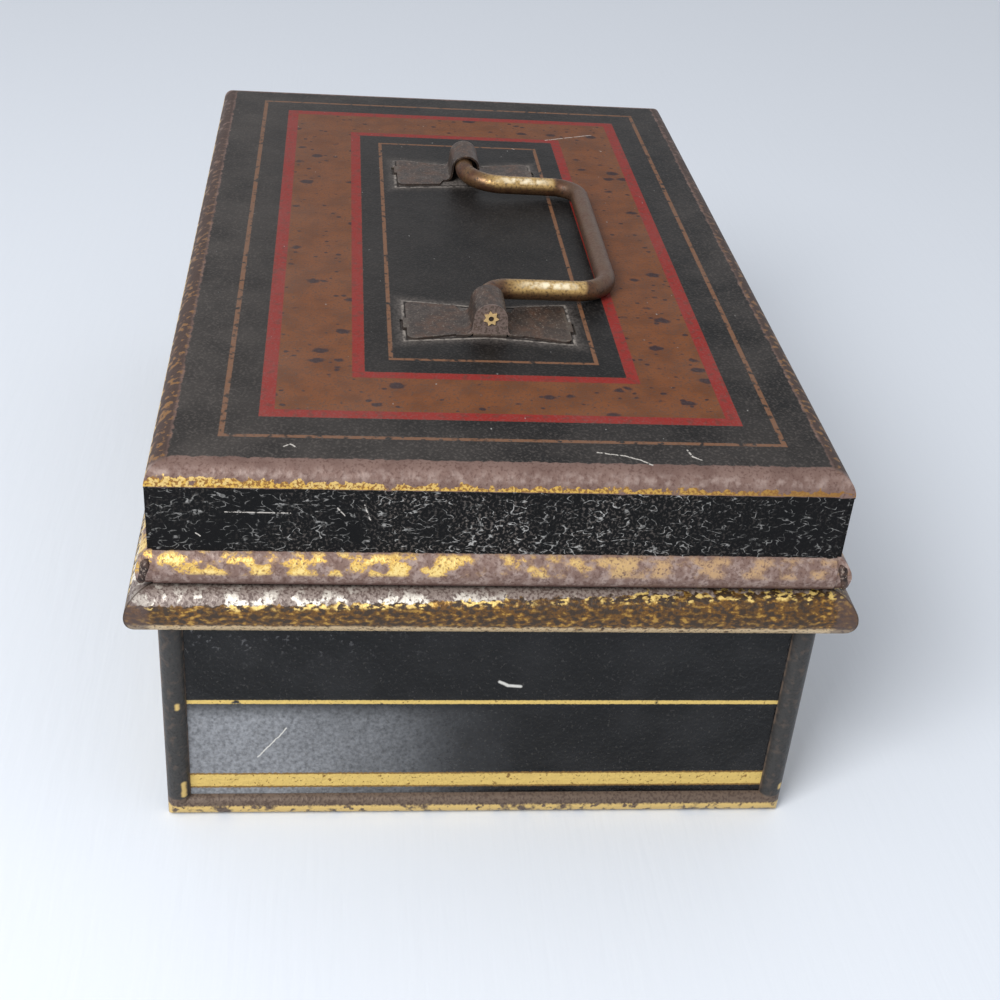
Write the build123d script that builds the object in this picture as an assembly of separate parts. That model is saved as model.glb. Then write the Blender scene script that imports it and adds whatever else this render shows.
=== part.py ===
from build123d import *
import math
import os

os.makedirs("parts", exist_ok=True)

# A tinplate deed box: a folded body with recessed ends, a half-round moulding
# round its mouth, a pressed lid, two hidden hinges, a lock and a bail handle.
# Millimetres. X runs along the box, +Y is the hinge side, -Y the lock side, Z up.
# The origin is the middle of the base, on the surface that the box stands on.

# ---- lid -----------------------------------------------------------------------
lid_length = 296.0
lid_width = 180.0
lid_top = 117.0
tin = 0.5                     # tinplate of the body and the lid
shoulder_radius = 5.5         # rolled edge of the lid's top
seat_height = 82.3            # lid's lower edge
swage_height = 10.2           # swelled band at the bottom of the lid's skirt
swage_swell = 3.0
swage_lip = 0.2               # how far the skirt's lower edge stays out
corner_lap = 1.3              # end skirt's edge, in from the lid's corner
return_flange = 12.0          # side skirt's return behind the end skirt
return_depth = 3.0

# ---- body ----------------------------------------------------------------------
body_half_width = 88.0        # outer face of the long walls
panel_face = 144.6            # outer face of the recessed ends
collar_top = 95.0             # body's mouth, inside the lid
hem_depth = 7.0
bottom_bend = 1.5
rim_half_width = 89.0         # rolled frame round each end
rim_top = 68.7
rim_width = 6.5
rim_rise = 2.7
rim_flat = 2.0                # flat at the bottom of the rim's hollow
panel_flange = 6.0

# ---- half-round moulding round the mouth -----------------------------------------
moulding_radius = 6.6
moulding_z = 75.5
moulding_inset = 0.4          # centre of its section, in from the lid's faces
hollow_flats = 5

# ---- hinges, each a strap on the lid and a leaf on the body round a pin ----------
hinge_x = 95.0
hinge_y = 90.85
hinge_z = 76.5
pin_radius = 1.3
knuckle_bore = 1.35
knuckle_sides = 12
leaf = 1.2                    # sheet of the hinge leaves and of the catch
leaf_length = 34.0
leaf_height = 3.5
strap_width = 15.0
strap_top = 107.0
strap_tongue = 8.0
strap_corner = 2.5
knuckle_gap = 0.3
pin_overhang = 0.6
strap_slot = 0.5              # room each side of a strap where it leaves the moulding
strap_slot_low = 76.2         # the strap comes to rest here when the lid is open

# ---- handle ----------------------------------------------------------------------
pivot_height = 6.2            # handle's axis above the lid
pivot_y = 0.8                 # and off the middle of it
wire_radius = 3.1
grip_near = (46.2, 39.0)      # corners of the bail: X, and reach from its axis
grip_far = (-40.4, 39.6)
leg_near = 52.4               # where each leg turns to its hood
leg_far = -33.9
bend_radii = [8.0, 13.0, 7.5, 11.0]
grip_clearance = 0.1
shoulder_gap = 0.5            # between the end of the wire and the hood's face
spigot_radius = 1.25
spigot_bore = 1.30
star_points = 7
star_radii = (2.3, 1.5)
star_thick = 0.4

# ---- keepers: distances from the middle of the lid, for the near and far end -----
keeper_sheet = 0.7
mouth_foot = {1: 57.0, -1: 50.5}
mouth_crest = {1: 59.5, -1: 48.0}
hood_face = {1: 72.9, -1: 64.5}
keeper_y = {1: 0.8, -1: 1.4}
wing_shift = {1: 0.0, -1: 6.5}
hood_half_width = 4.9
hood_height = 10.5
hood_spring = 5.4             # height where the hood's straight sides turn into its arch
hood_splay = 0.5              # how far each side leans out at its foot
hood_flare = 2.2              # concave bend from the hood into the wings
wing_root = (57.0, 71.8)      # inner and outer edge of a wing at the hood
wing_neck = 53.2
wing_tip = (51.3, 76.3)
wing_end = 24.0
wing_corner = 2.2
tab_x = 65.8                  # tab of a wing, and its slot in the lid
tab_y = 24.3
tab_length = 6.4
tab_clinch = 4.5
tab_slot_length = 7.6
tab_slot_width = 1.6

# ---- lock, inside the front wall -------------------------------------------------
keyhole_z = 45.0
keyhole_radius = 2.0
keyhole_slot = 2.4
keyhole_low = 38.5
plate_z = 43.0
plate_width = 13.0
plate_height = 27.0
plate_thick = 0.8
case_ends = (-28.0, 22.0)
case_low = 34.0
case_high = 66.0
case_back = -77.0
case_sheet = 0.8
case_slot = ((10.5, 13.5), -78.2)  # opening in its top for the staple: X, and how deep
ear_width = 7.0
ear_inset = 4.0
bolt_throw = 8.0
bolt_back = -81.2
bolt_thick = 2.4
bolt_axis_z = 60.15
bolt_plate = ((-26.0, 3.0), (54.5, 63.5))
bolt_nose = ((3.0, 10.2), (56.0, 61.0))
bolt_notch = ((-7.5, -0.5), 57.3)
bolt_play = 0.05
bolt_corner = 0.4
post_radius = 1.5
post_head = 2.3
post_shoulder = 2.6
post_head_thick = 0.7
post_places = (-14.0, -0.5)
key_post_front = -85.5
spring_thick = 0.35
spring_low = 63.7
spring_ends = (-24.0, 2.0)
staple_x = 12.0
staple_thick = 1.6
staple_low = 53.0
staple_top = 106.5
staple_edges = (-85.0, -79.0)
staple_chamfer = 1.5
eye_middle = (-82.2, 58.5)
eye_size = (4.2, 6.4)
catch_size = (16.0, 9.0)
catch_z = 102.5

rivet_radius = 1.2
rivet_sides = 8
rivet_chamfer = 0.75          # slope round a rivet's head, as a share of its radius
pin_scale = rivet_radius / 2  # keyhole plate's pins
wall_inside = body_half_width - tin
wall_front = -wall_inside
panel_inside = panel_face - tin
half_length = lid_length / 2
half_width = lid_width / 2
shoulder_low = lid_top - shoulder_radius
lid_underside = lid_top - tin
beyond = 2 * half_length      # past everything, for cuts
ends = ((1, "near"), (-1, "far"))
strap_rivets = [(end * hinge_x + dx, 101.0) for end in (1, -1) for dx in (-4.0, 4.0)]
catch_rivets = [(staple_x + dx, catch_z) for dx in (-5.0, 5.0)]
case_rivets = [(x, z) for x in (case_ends[0] - 3.5, case_ends[1] + 3.5) for z in (43.0, 57.0)]
plate_pins = [(0.0, 32.2), (0.0, 53.8)]
post_seats = [(x, bolt_axis_z) for x in post_places] + [(0.0, keyhole_z)]


def block(x, y, z):
    """Box between two limits on each axis, given in either order."""
    size = [abs(b - a) for a, b in (x, y, z)]
    middle = [(a + b) / 2 for a, b in (x, y, z)]
    return Pos(*middle) * Box(*size)


def rod(start, end, radius):
    """Round bar from one point to another."""
    axis = Vector(*end) - Vector(*start)
    return extrude(Plane(start, z_dir=axis) * Circle(radius), axis.length)


def stud(start, end, radius, sides=rivet_sides):
    """Bar with flats, for rivets, tenons and their punched holes."""
    axis = Vector(*end) - Vector(*start)
    return extrude(Plane(start, z_dir=axis) * RegularPolygon(radius, sides), axis.length)


def across(outline, x_low, x_high):
    """Extrude an outline drawn in Y and Z from one X to another."""
    plane = Plane((x_low, 0, 0), x_dir=(0, 1, 0), z_dir=(1, 0, 0))
    return extrude(plane * outline, x_high - x_low)


def through(outline, y_low, y_high):
    """Extrude an outline drawn in X and Z from one Y to another."""
    plane = Plane((0, y_high, 0), x_dir=(1, 0, 0), z_dir=(0, -1, 0))
    return extrude(plane * outline, y_high - y_low)


def closed(*edges):
    """Flat face inside a closed run of edges."""
    return make_face(Wire(list(edges)))


def polygon(*points):
    return make_face(Polyline(*points, close=True))


def joined(shapes):
    group = None
    for shape in shapes:
        group = shape if group is None else group + shape
    return group


def placed(shape, end):
    """Shape drawn for the near end, or its mirror image for the far end."""
    return shape if end > 0 else mirror(shape, about=Plane.YZ)


def punched(shape, holes, y, depth, radius=rivet_radius):
    """Shape with a hole along Y at each place, this far to both sides of y."""
    for x, z in holes:
        shape -= stud((x, y - depth, z), (x, y + depth, z), radius)
    return shape


def rivet(x, z, head_y, tail_y, radius=rivet_radius):
    """Rivet along Y, with a button head outside head_y and a flat upset end past tail_y."""
    sign = math.copysign(1, head_y - tail_y)
    shank = stud((x, tail_y, z), (x, head_y, z), radius)
    upset = stud((x, tail_y - sign * 0.6 * radius, z), (x, tail_y, z), 1.6 * radius)
    head = stud((x, head_y, z), (x, head_y + sign * 0.9 * radius, z), 2 * radius)
    crown = max(head.faces(), key=lambda face: sign * face.center().Y)
    return shank + upset + chamfer(crown.edges(), rivet_chamfer * radius)


# ---- lid ---------------------------------------------------------------------------
def lid_outline(half, inset):
    """Lid's cross-section, its outside or, with an inset, its hollow."""
    top = lid_top - inset
    side = half - inset
    foot = seat_height - 2 * inset
    lip = side + swage_lip
    radius = shoulder_radius - inset
    shoulder = half - shoulder_radius
    slant = radius * math.sqrt(0.5)
    swage_top = seat_height + swage_height
    swage_middle = seat_height + swage_height / 2

    def flank(sign):
        return [ThreePointArc((sign * shoulder, top),
                              (sign * (shoulder + slant), shoulder_low + slant),
                              (sign * side, shoulder_low)),
                Line((sign * side, shoulder_low), (sign * side, swage_top)),
                ThreePointArc((sign * side, swage_top), (sign * (side + swage_swell), swage_middle),
                              (sign * lip, foot))]

    return closed(Line((-shoulder, top), (shoulder, top)), *flank(1),
                  Line((-lip, foot), (lip, foot)), *flank(-1))


def lid_form(half_l, inset):
    """Solid of the lid's form, its four sides meeting in mitres."""
    lengthwise = through(lid_outline(half_l, inset), -beyond, beyond)
    return lengthwise & across(lid_outline(half_width, inset), -beyond, beyond)


def lid_shell():
    skin = lid_form(half_length, 0) - lid_form(half_length, tin)
    # the end skirts stop short of the corners, and lap returns of the side skirts
    for end, _ in ends:
        for side in (1, -1):
            skin -= block((end * (half_length - tin), end * beyond),
                          (side * (half_width - corner_lap), side * beyond), (0, shoulder_low - tin))
    returns = lid_form(half_length - tin, 0) - lid_form(half_length - tin, tin)
    flange_start = half_width - return_flange
    flange_inner = half_length - return_depth
    returns &= block((-beyond, beyond), (-beyond, beyond), (0, shoulder_low))
    returns -= block((-beyond, beyond), (-flange_start, flange_start), (0, lid_top))
    returns -= block((-flange_inner, flange_inner), (-beyond, beyond), (0, lid_top))
    shell = skin + returns
    for end, _ in ends:
        for side in (1, -1):
            x = end * (tab_x - wing_shift[end])
            y = keeper_y[end] + side * tab_y
            shell -= block((x - tab_slot_length / 2, x + tab_slot_length / 2),
                           (y, y + side * tab_slot_width), (lid_underside - 1, lid_top + 1))
    shell = punched(shell, strap_rivets, half_width, 2)
    return punched(shell, catch_rivets, -half_width, 2)


# ---- body --------------------------------------------------------------------------
def trough(half, floor, bend, top):
    """Open channel's outline, square at the top and bent round at the bottom."""
    slant = bend * (1 - math.sqrt(0.5))

    def corner(sign):
        return [Line((sign * half, top), (sign * half, floor + bend)),
                ThreePointArc((sign * half, floor + bend), (sign * (half - slant), floor + slant),
                              (sign * (half - bend), floor))]

    return closed(*corner(1), Line((half - bend, floor), (bend - half, floor)), *corner(-1),
                  Line((-half, top), (half, top)))


def keyhole(y_low, y_high):
    slot = block((-keyhole_slot / 2, keyhole_slot / 2), (y_low, y_high), (keyhole_low, keyhole_z))
    return rod((0, y_low, keyhole_z), (0, y_high, keyhole_z), keyhole_radius) + slot


def rim():
    """Rolled frame round the near end, an arch with a bent hollow and mitred lower corners."""
    start = (panel_face, -rim_half_width, rim_top)
    route = Polyline(start, (panel_face, -rim_half_width, 0), (panel_face, rim_half_width, 0),
                     (panel_face, rim_half_width, rim_top))
    middle = rim_width / 2
    bed = rim_rise - 1.3 * tin
    hollow = Polyline((rim_width, 0), (rim_width - tin, 0), (middle + rim_flat / 2, bed),
                      (middle - rim_flat / 2, bed), (tin, 0), (0, 0))
    arch = closed(ThreePointArc((0, 0), (middle, rim_rise), (rim_width, 0)), *hollow.edges())
    section = Plane(start, x_dir=(0, 1, 0), z_dir=(0, 0, -1)) * arch
    return sweep(section, path=route, transition=Transition.RIGHT)


def body_wrap():
    """Front, bottom and back in one bent sheet, rolled over at both ends."""
    sheet = across(trough(body_half_width, 0, bottom_bend, collar_top), -panel_face, panel_face)
    sheet -= across(trough(wall_inside, tin, bottom_bend - tin, collar_top + 1),
                    -panel_face - 1, panel_face + 1)
    for side in (1, -1):
        sheet += block((-panel_face, panel_face), (side * wall_inside, side * (wall_inside - tin)),
                       (collar_top - hem_depth, collar_top))
        for end, _ in ends:
            sheet += block((end * panel_inside, end * panel_face),
                           (side * wall_inside, side * rim_half_width), (0, rim_top))
    near_rim = rim()
    sheet += near_rim
    sheet += placed(near_rim, -1)
    sheet -= keyhole(-body_half_width - 1, 1 - wall_inside)
    sheet = punched(sheet, case_rivets, -body_half_width, 2)
    return punched(sheet, plate_pins, -body_half_width, 2, pin_scale)


def end_panel(end):
    """Recessed end, with flanges turned in along the walls and the bottom."""
    hem_low = collar_top - hem_depth
    hem_half = wall_inside - tin
    inner = panel_inside - panel_flange
    bend = bottom_bend - tin
    plate = across(trough(wall_inside, tin, bend, hem_low), panel_inside, panel_face)
    plate += block((panel_inside - tin, panel_face), (-hem_half, hem_half), (hem_low, collar_top))
    flange_half = wall_inside - 2 * bend
    plate += block((inner, panel_inside), (-flange_half, flange_half), (tin, 2 * tin))
    for side in (1, -1):
        plate += block((inner, panel_inside), (side * wall_inside, side * hem_half),
                       (2 * bend, hem_low - tin))
    return placed(plate, end)


def moulding_outline(half, radius):
    """Cross-section of a slab with half-round edges."""
    edge = half - moulding_inset
    top = moulding_z + radius
    low = moulding_z - radius
    return closed(Line((-edge, top), (edge, top)),
                  ThreePointArc((edge, top), (edge + radius, moulding_z), (edge, low)),
                  Line((edge, low), (-edge, low)),
                  ThreePointArc((-edge, low), (-edge - radius, moulding_z), (-edge, top)))


def hollow_outline(half, radius):
    """Cross-section of the moulding's hollow, bent in flats where nothing shows."""
    edge = half - moulding_inset
    turns = [math.pi * step / hollow_flats for step in range(hollow_flats + 1)]
    right = [(edge + radius * math.sin(turn), moulding_z + radius * math.cos(turn)) for turn in turns]
    return polygon(*right, *[(-u, z) for u, z in reversed(right)])


def mouth_moulding():
    """Half-round moulding of bent sheet, mitred at its corners."""
    forms = []
    for outline, radius in ((moulding_outline, moulding_radius), (hollow_outline, moulding_radius - tin)):
        lengthwise = through(outline(half_length, radius), -beyond, beyond)
        forms.append(lengthwise & across(outline(half_width, radius), -beyond, beyond))
    ring = forms[0] - forms[1]
    low, high = moulding_z - 2 * moulding_radius, moulding_z + 2 * moulding_radius
    ring -= block((-panel_face, panel_face), (-body_half_width, body_half_width), (low, high))
    reach = strap_width / 2 + strap_slot
    for end, _ in ends:
        ring -= block((end * hinge_x - reach, end * hinge_x + reach),
                      (body_half_width - 1, half_width + 2 * moulding_radius), (strap_slot_low, high))
    return ring


# ---- hinges ------------------------------------------------------------------------
def knuckle(x_low, x_high):
    start, end = (x_low, hinge_y, hinge_z), (x_high, hinge_y, hinge_z)
    return stud(start, end, knuckle_bore + leaf, knuckle_sides)


def pin_bore(end):
    x = end * hinge_x
    return rod((x - leaf_length, hinge_y, hinge_z), (x + leaf_length, hinge_y, hinge_z), knuckle_bore)


def hinge_body_leaf(end):
    """Leaf on the back wall, inside the moulding, with a knuckle at each end."""
    x = end * hinge_x
    inner = strap_width / 2 + knuckle_gap
    low = moulding_z - moulding_radius + 2 * tin
    face = (body_half_width, body_half_width + leaf)
    plate = block((x - leaf_length / 2, x + leaf_length / 2), face, (low, low + leaf_height))
    for side in (1, -1):
        limits = sorted((x + side * inner, x + side * leaf_length / 2))
        plate += block(limits, face, (low, hinge_z + 1))
        plate += knuckle(*limits)
    return plate - pin_bore(end)


def hinge_strap(end):
    """Strap riveted inside the lid's back skirt, curled round the pin."""
    x = end * hinge_x
    half = strap_width / 2
    outer = half_width - tin
    middle = strap_top - strap_tongue / 2
    tongue = RectangleRounded(strap_width, strap_tongue, strap_corner)
    strap = through(Pos(x, middle) * tongue, outer - leaf, outer)
    strap += block((x - half, x + half), (outer - leaf, outer), (hinge_z, middle))
    strap += knuckle(x - half, x + half)
    strap -= pin_bore(end)
    return punched(strap, strap_rivets, outer, 2 * leaf)


def hinge_pin(end):
    x = end * hinge_x
    reach = leaf_length / 2 + pin_overhang
    return rod((x - reach, hinge_y, hinge_z), (x + reach, hinge_y, hinge_z), pin_radius)


# ---- handle and keepers --------------------------------------------------------------
def hood_section(inset):
    """Section of a keeper's hood, bent out at its feet, or of the hollow under it."""
    half = hood_half_width - inset
    crest = lid_top + hood_height - inset
    spring = lid_top + hood_spring
    floor = lid_top + keeper_sheet - inset
    low = lid_top - inset
    foot = half + hood_splay
    reach = hood_half_width + hood_splay + 2 * hood_flare
    section = closed(Line((-reach, low), (-reach, floor)), Line((-reach, floor), (-foot, floor)),
                     Line((-foot, floor), (-half, spring)),
                     ThreePointArc((-half, spring), (0, crest), (half, spring)),
                     Line((half, spring), (foot, floor)), Line((foot, floor), (reach, floor)),
                     Line((reach, floor), (reach, low)), Line((reach, low), (-reach, low)))
    feet = [v for v in section.vertices() if math.isclose(abs(v.X), foot, abs_tol=0.01)]
    return fillet(feet, hood_flare + inset)


def keeper_wing(side):
    """Flat wing that widens outwards, with a tab bent down through the lid and clinched."""
    high = lid_top + keeper_sheet
    root = hood_half_width + hood_splay + hood_flare
    neck = root + 1.5
    plan = polygon((wing_root[0], side * root), (wing_neck, side * neck), (wing_tip[0], side * wing_end),
                   (wing_tip[1], side * wing_end), (wing_root[1], side * root))
    plan = fillet([v for v in plan.vertices() if abs(v.Y) > neck + 1], wing_corner)
    wing = extrude(Pos(0, 0, lid_top) * plan, keeper_sheet)
    tab = (tab_x - tab_length / 2, tab_x + tab_length / 2)
    outer = side * (tab_y + keeper_sheet)
    wing += block(tab, (side * (wing_end - 1), outer), (lid_top, high))
    wing += block(tab, (side * tab_y, outer), (lid_underside - keeper_sheet, high))
    wing += block(tab, (side * tab_y, side * (tab_y + tab_clinch)),
                  (lid_underside - keeper_sheet, lid_underside))
    return wing


def keeper(end):
    """Butterfly plate pressed up into a hood, open inwards and closed at its outer end."""
    foot, crest, face = mouth_foot[end], mouth_crest[end], hood_face[end]
    start = min(foot, crest)
    high = lid_top + hood_height + 1
    hollow = hood_section(keeper_sheet)
    hood = across(hood_section(0), start, face)
    hood -= across(hollow, start - 1, face + 1)
    hood -= through(polygon((start - 1, lid_top - 1), (foot, lid_top - 1), (foot, lid_top),
                            (crest, high), (start - 1, high)), -wing_end, wing_end)
    above = block((start, face), (-hood_half_width, hood_half_width), (lid_top, high))
    end_wall = across(hollow, face - keeper_sheet, face) & above
    bore = (pivot_y - keeper_y[end], lid_top + pivot_height)
    end_wall -= rod((start, *bore), (face + 1, *bore), spigot_bore)
    wings = Pos(-wing_shift[end], 0, 0) * (keeper_wing(1) + keeper_wing(-1))
    return Pos(0, keeper_y[end], 0) * placed(hood + end_wall + wings, end)


def star():
    """Star that a punch leaves on the end of a spigot."""
    corners = []
    for step in range(2 * star_points):
        radius = star_radii[step % 2]
        angle = math.pi * step / star_points
        corners.append((radius * math.cos(angle), radius * math.sin(angle)))
    return polygon(*corners)


def handle_bail():
    """Bent wire whose spigots turn in the hoods' faces, each staked with a star punch."""
    shoulder = {end: hood_face[end] - keeper_sheet - shoulder_gap for end, _ in ends}
    route = FilletPolyline((shoulder[1], 0), (leg_near, 0), grip_near, grip_far, (leg_far, 0),
                           (-shoulder[-1], 0), radius=bend_radii)
    bail = sweep(Plane((shoulder[1], 0, 0), z_dir=(-1, 0, 0)) * Circle(wire_radius), path=route)
    for end, _ in ends:
        stake = hood_face[end] + spigot_bore - spigot_radius
        spigot = rod((shoulder[end] - 1, 0, 0), (stake, 0, 0), spigot_radius)
        head = across(star(), stake, stake + star_thick)
        head -= stud((stake + star_thick / 2, 0, 0), (stake + 1, 0, 0), star_radii[1] / 2)
        bail += placed(spigot + head, end)
    drop = pivot_height - wire_radius - grip_clearance
    tilt = math.degrees(math.asin(drop / grip_far[1]))
    return Pos(0, pivot_y, lid_top + pivot_height) * Rot(-tilt, 0, 0) * bail


# ---- lock ----------------------------------------------------------------------------
def lock_case():
    """Cover over the works, open towards the wall, with an ear riveted at each end."""
    left, right = case_ends
    slot_x, slot_back = case_slot
    case = block((left, right), (wall_front, case_back), (case_low, case_high))
    case -= block((left + case_sheet, right - case_sheet), (wall_front - 1, case_back - case_sheet),
                  (case_low + case_sheet, case_high - case_sheet))
    case -= block(slot_x, (wall_front - 1, slot_back), (case_high - 2, case_high + 1))
    ear_face = wall_front + case_sheet
    for x_low, x_high in ((left - ear_width, left), (right, right + ear_width)):
        case += block((x_low, x_high), (wall_front, ear_face),
                      (case_low + ear_inset, case_high - ear_inset))
    case = punched(case, case_rivets, ear_face, 2)
    return punched(case, post_seats, case_back, 2)


def lock_bolt():
    """Sliding bolt, drawn back: a plate with two guide slots, a nose and a key notch."""
    front = bolt_back - bolt_thick
    plate = block(bolt_plate[0], (front, bolt_back), bolt_plate[1])
    plate += block(bolt_nose[0], (front, bolt_back), bolt_nose[1])
    reach = post_radius + bolt_play
    slot = Rectangle(bolt_throw + 2 * reach, 2 * reach)
    slot = chamfer(slot.vertices(), bolt_corner)
    for x in post_places:
        plate -= through(Pos(x - bolt_throw / 2, bolt_axis_z) * slot, front - 1, bolt_back + 1)
    notch_x, notch_top = bolt_notch
    return plate - block(notch_x, (front - 1, bolt_back + 1), (bolt_plate[1][0] - 1, notch_top))


def post(x, z, front):
    """Pin that stands on the inside of the case, riveted over behind it."""
    inside = case_back - case_sheet
    pin = stud((x, inside, z), (x, front, z), post_radius)
    pin += stud((x, case_back, z), (x, inside, z), rivet_radius)
    return pin + stud((x, case_back + post_head_thick, z), (x, case_back, z), post_head)


def guide_post(x):
    """Post that a slot of the bolt slides on, with a shoulder behind it and a head before."""
    z = bolt_axis_z
    head_start = bolt_back - bolt_thick - 2 * bolt_play
    pin = post(x, z, head_start)
    pin += stud((x, case_back - case_sheet, z), (x, bolt_back + 2 * bolt_play, z), post_shoulder)
    return pin + stud((x, head_start, z), (x, head_start - post_head_thick, z), post_head)


def bolt_spring():
    """Bowed strip that presses on the top of the bolt."""
    high = case_high - case_sheet - spring_thick
    left, right = spring_ends
    middle = (left + right) / 2
    strip = closed(ThreePointArc((left, high), (middle, spring_low), (right, high)),
                   Line((right, high), (right, high + spring_thick)),
                   ThreePointArc((right, high + spring_thick), (middle, spring_low + spring_thick),
                                 (left, high + spring_thick)),
                   Line((left, high + spring_thick), (left, high)))
    return through(strip, bolt_back - bolt_thick, bolt_back)


def lid_catch():
    """Plate riveted inside the lid's front skirt, with a staple that enters the lock."""
    face = tin - half_width
    root = face + leaf
    front, back = staple_edges
    outline = Pos(staple_x, catch_z) * Rectangle(*catch_size)
    plate = through(chamfer(outline.vertices(), staple_chamfer), face, root)
    plate = punched(plate, catch_rivets, face, 2 * leaf)
    neck = catch_z - catch_size[1] / 2 + 0.5
    web = polygon((root, neck), (root, staple_top), (back, staple_top), (back, staple_low),
                  (front, staple_low), (front, neck))
    foot = [v for v in web.vertices() if math.isclose(v.Y, staple_low, abs_tol=0.01)]
    web = chamfer(foot, staple_chamfer)
    web -= Pos(*eye_middle) * Rectangle(*eye_size)
    return plate + across(web, staple_x - staple_thick / 2, staple_x + staple_thick / 2)


def keyhole_plate():
    """Round-ended plate about the keyhole, on the front wall."""
    outer = -body_half_width
    outline = Pos(0, plate_z) * Rot(0, 0, 90) * SlotOverall(plate_height, plate_width)
    plate = through(outline, outer - plate_thick, outer)
    plate -= keyhole(outer - 2, outer + 1)
    return punched(plate, plate_pins, outer, 2, pin_scale)


def rivets(places, head_y, tail_y, radius=rivet_radius):
    return joined(rivet(x, z, head_y, tail_y, radius) for x, z in places)


nodes = {
    "body_wrap": body_wrap(),
    "mouth_moulding": mouth_moulding(),
    "lid_shell": lid_shell(),
    "handle_bail": handle_bail(),
    "lock_case": lock_case(),
    "lock_bolt": lock_bolt(),
    "lock_guide_posts": joined(guide_post(x) for x in post_places),
    "lock_key_post": post(0, keyhole_z, key_post_front),
    "lock_bolt_spring": bolt_spring(),
    "lid_catch": lid_catch(),
    "keyhole_plate": keyhole_plate(),
    "hinge_rivets": rivets(strap_rivets, half_width, half_width - tin - leaf),
    "catch_rivets": rivets(catch_rivets, -half_width, leaf + tin - half_width),
    "lock_rivets": rivets(case_rivets, -body_half_width, wall_front + case_sheet),
    "keyhole_plate_pins": rivets(plate_pins, -body_half_width - plate_thick, wall_front, pin_scale),
}
for end, place in ends:
    nodes[f"end_panel_{place}"] = end_panel(end)
    nodes[f"hinge_body_leaf_{place}"] = hinge_body_leaf(end)
    nodes[f"hinge_strap_{place}"] = hinge_strap(end)
    nodes[f"hinge_pin_{place}"] = hinge_pin(end)
    nodes[f"handle_keeper_{place}"] = keeper(end)

for name, shape in nodes.items():
    export_step(shape, f"parts/{name}.step")
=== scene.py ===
import bpy
from mathutils import Matrix, Vector


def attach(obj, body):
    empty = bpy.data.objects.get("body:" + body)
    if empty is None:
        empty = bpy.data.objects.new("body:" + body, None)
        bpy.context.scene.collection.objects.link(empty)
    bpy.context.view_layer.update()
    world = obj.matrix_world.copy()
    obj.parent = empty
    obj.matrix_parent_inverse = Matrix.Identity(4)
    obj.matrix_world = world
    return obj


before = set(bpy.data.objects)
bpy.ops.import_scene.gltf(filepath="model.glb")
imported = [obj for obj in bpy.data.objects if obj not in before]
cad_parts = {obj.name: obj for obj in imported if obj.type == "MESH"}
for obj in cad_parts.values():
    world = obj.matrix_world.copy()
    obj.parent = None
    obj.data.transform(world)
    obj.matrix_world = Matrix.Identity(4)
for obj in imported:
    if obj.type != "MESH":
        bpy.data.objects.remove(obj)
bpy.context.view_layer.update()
bpy.ops.object.select_all(action="DESELECT")
print("frame loaded")

# Patterns are placed in millimetres of the part's own frame: +X the near end, -Y the lock side.
# These clouds serve most coats: millimetres across, and how finely they are broken up.
sharedClouds = {
    "grain": (0.8, 3.0),
    "wear": (2.2, 4.0),
    "mottle": (4.5, 3.0),
    "blotches": (7.0, 3.0),
    "drift": (18.0, 4.0),
}
cloudSpread = 0.28                  # most of a cloud's values lie within this of each other


def paint(red, green, blue):
    def linear(level):
        share = level / 255
        return share / 12.92 if share <= 0.04045 else ((share + 0.055) / 1.055) ** 2.4
    return (linear(red), linear(green), linear(blue), 1.0)


# A finish is a colour, with its roughness and how metallic it is where they change too.
def finish(red, green, blue, rough=None, metal=None):
    return paint(red, green, blue), rough, metal


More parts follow.
